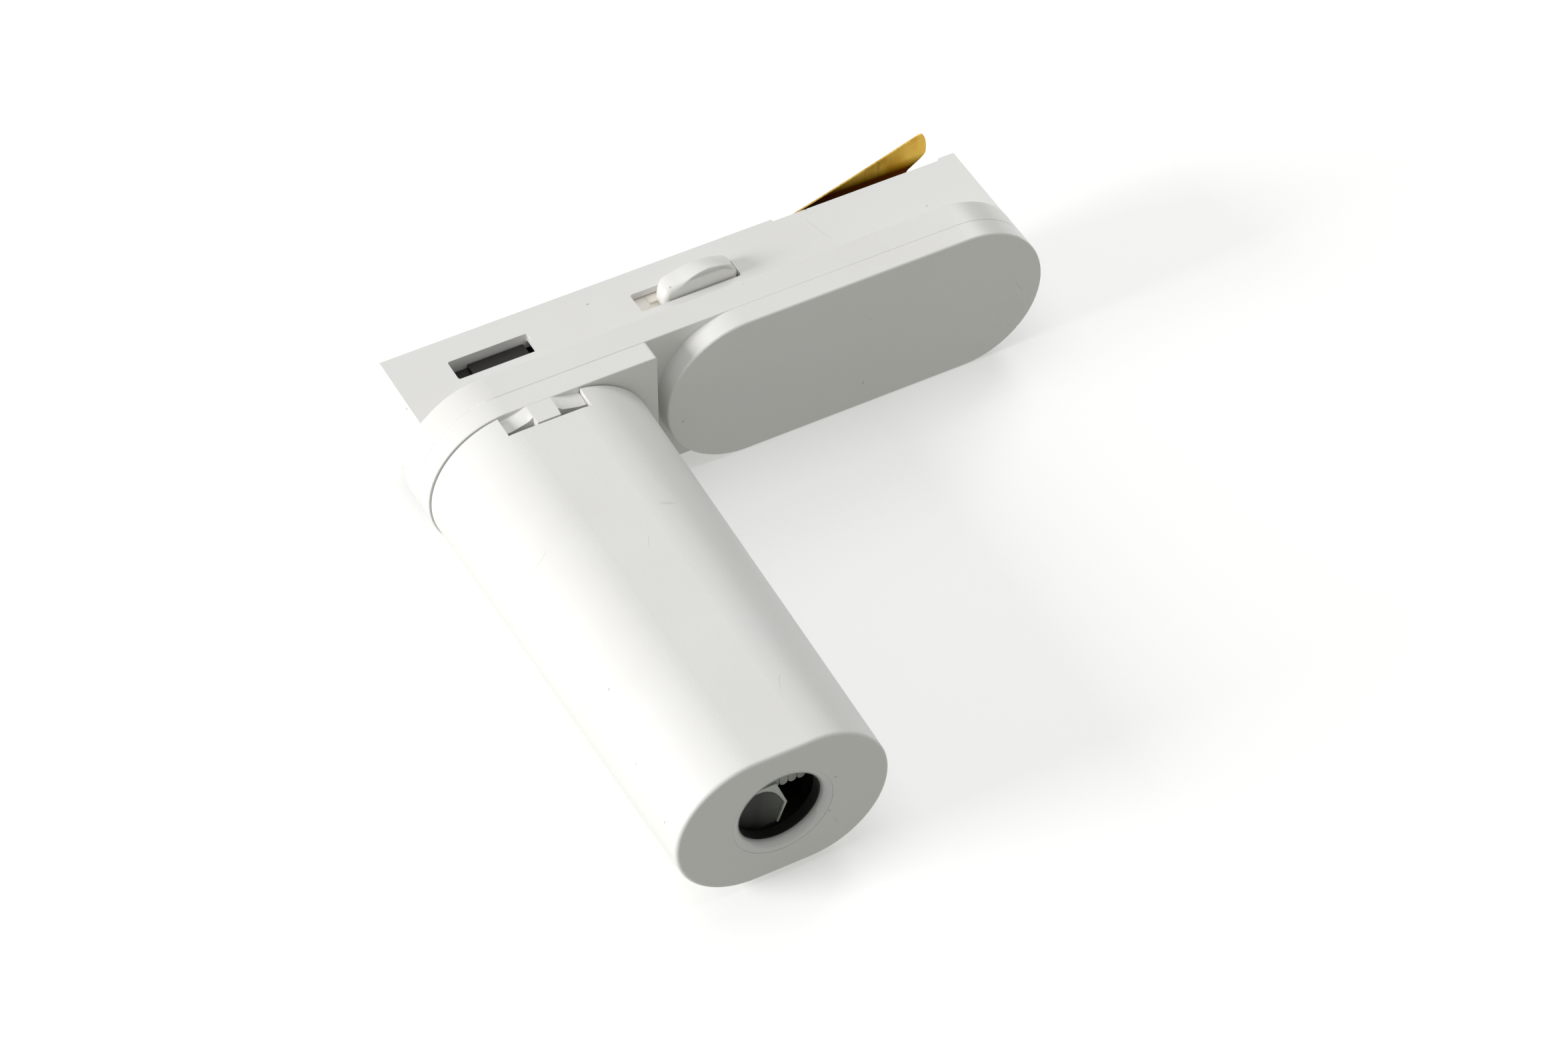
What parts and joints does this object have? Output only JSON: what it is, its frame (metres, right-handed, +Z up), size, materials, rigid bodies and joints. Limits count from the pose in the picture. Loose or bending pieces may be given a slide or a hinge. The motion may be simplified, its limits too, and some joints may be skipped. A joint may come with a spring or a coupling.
{
  "type": "lighting track adapter with cable housing",
  "caption": "L-shaped white track adapter lying on its side: a long insert with contact window, thumb slider and earth blade, and an oblong housing with a cable outlet and cord grip.",
  "frame": {"origin": "on the resting surface, under the middle of the overall box", "axes": "+X along the bar, +Y into the track, -Y along the cable housing, +Z up"},
  "size_m": [0.141, 0.144, 0.036],
  "materials": {
    "white_plastic": "satin, fine texture",
    "gloss_ring": "glossy",
    "inner_plastic": "matt",
    "black_plastic": "matt",
    "brass": "rolled, fine lines",
    "steel": "zinc plated",
    "brown_sheath": "matt",
    "blue_sheath": "matt",
    "green_sheath": "matt"
  },
  "bodies": {
    "adapter": {"insert_body": "white_plastic", "seat_plate": "white_plastic", "flange": "white_plastic", "side_cover": "white_plastic", "arm_block": "white_plastic", "chassis": "black_plastic", "cord_guide": "inner_plastic", "cord_grip_base": "black_plastic", "terminal_block": "inner_plastic", "contact_carrier": "black_plastic", "terminal_clamps": "brass", "contact_strips": "brass", "earth_foot": "brass", "earth_rivet": "brass", "earth_strip": "brass", "rotor_pin": "steel", "terminal_screws": "steel", "body_screws": "steel", "block_screws": "steel", "lead_live": "brown_sheath", "lead_neutral": "blue_sheath", "lead_earth": "green_sheath"},
    "thumb": {"thumb_slider": "white_plastic"},
    "rotor": {"contact_rotor": "black_plastic", "rotor_contacts": "brass"},
    "blade": {"earth_blade": "brass"},
    "tongue": {"release_tongue": "white_plastic"},
    "sleeve": {"arm_sleeve": "white_plastic", "outlet_bush": "gloss_ring"},
    "jaw": {"cord_grip_jaw": "inner_plastic", "grip_screws": "steel"}
  },
  "joints": [
    {"name": "thumb_slide", "type": "slide", "parent": "adapter", "child": "thumb", "axis": [-1, 0, 0], "range_m": [0, 0.0044]},
    {"name": "rotor_turn", "type": "hinge", "parent": "adapter", "child": "rotor", "pos_m": [-0.0448, 0.0533, 0.018], "axis": [0, -1, 0], "range_deg": [0, 90]},
    {"name": "blade_flex", "type": "hinge", "parent": "adapter", "child": "blade", "pos_m": [0.0282, 0.06215, 0.0235], "axis": [0, 0, -1], "range_deg": [0, 12.5], "stiffness_Nm_per_rad": 0.1},
    {"name": "tongue_press", "type": "hinge", "parent": "adapter", "child": "tongue", "pos_m": [-0.0456, 0.0305, 0.0331], "axis": [1, 0, 0], "range_deg": [0, 7], "stiffness_Nm_per_rad": 0.2},
    {"name": "sleeve_pull", "type": "slide", "parent": "adapter", "child": "sleeve", "axis": [0, -1, 0], "range_m": [0, 0.11]},
    {"name": "jaw_clamp", "type": "slide", "parent": "adapter", "child": "jaw", "axis": [0, 0, -1], "range_m": [0, 0.003]}
  ],
  "couplings": [
    {"joint": "rotor_turn", "follows": "thumb_slide", "rad_per_m": 357.14}
  ]
}
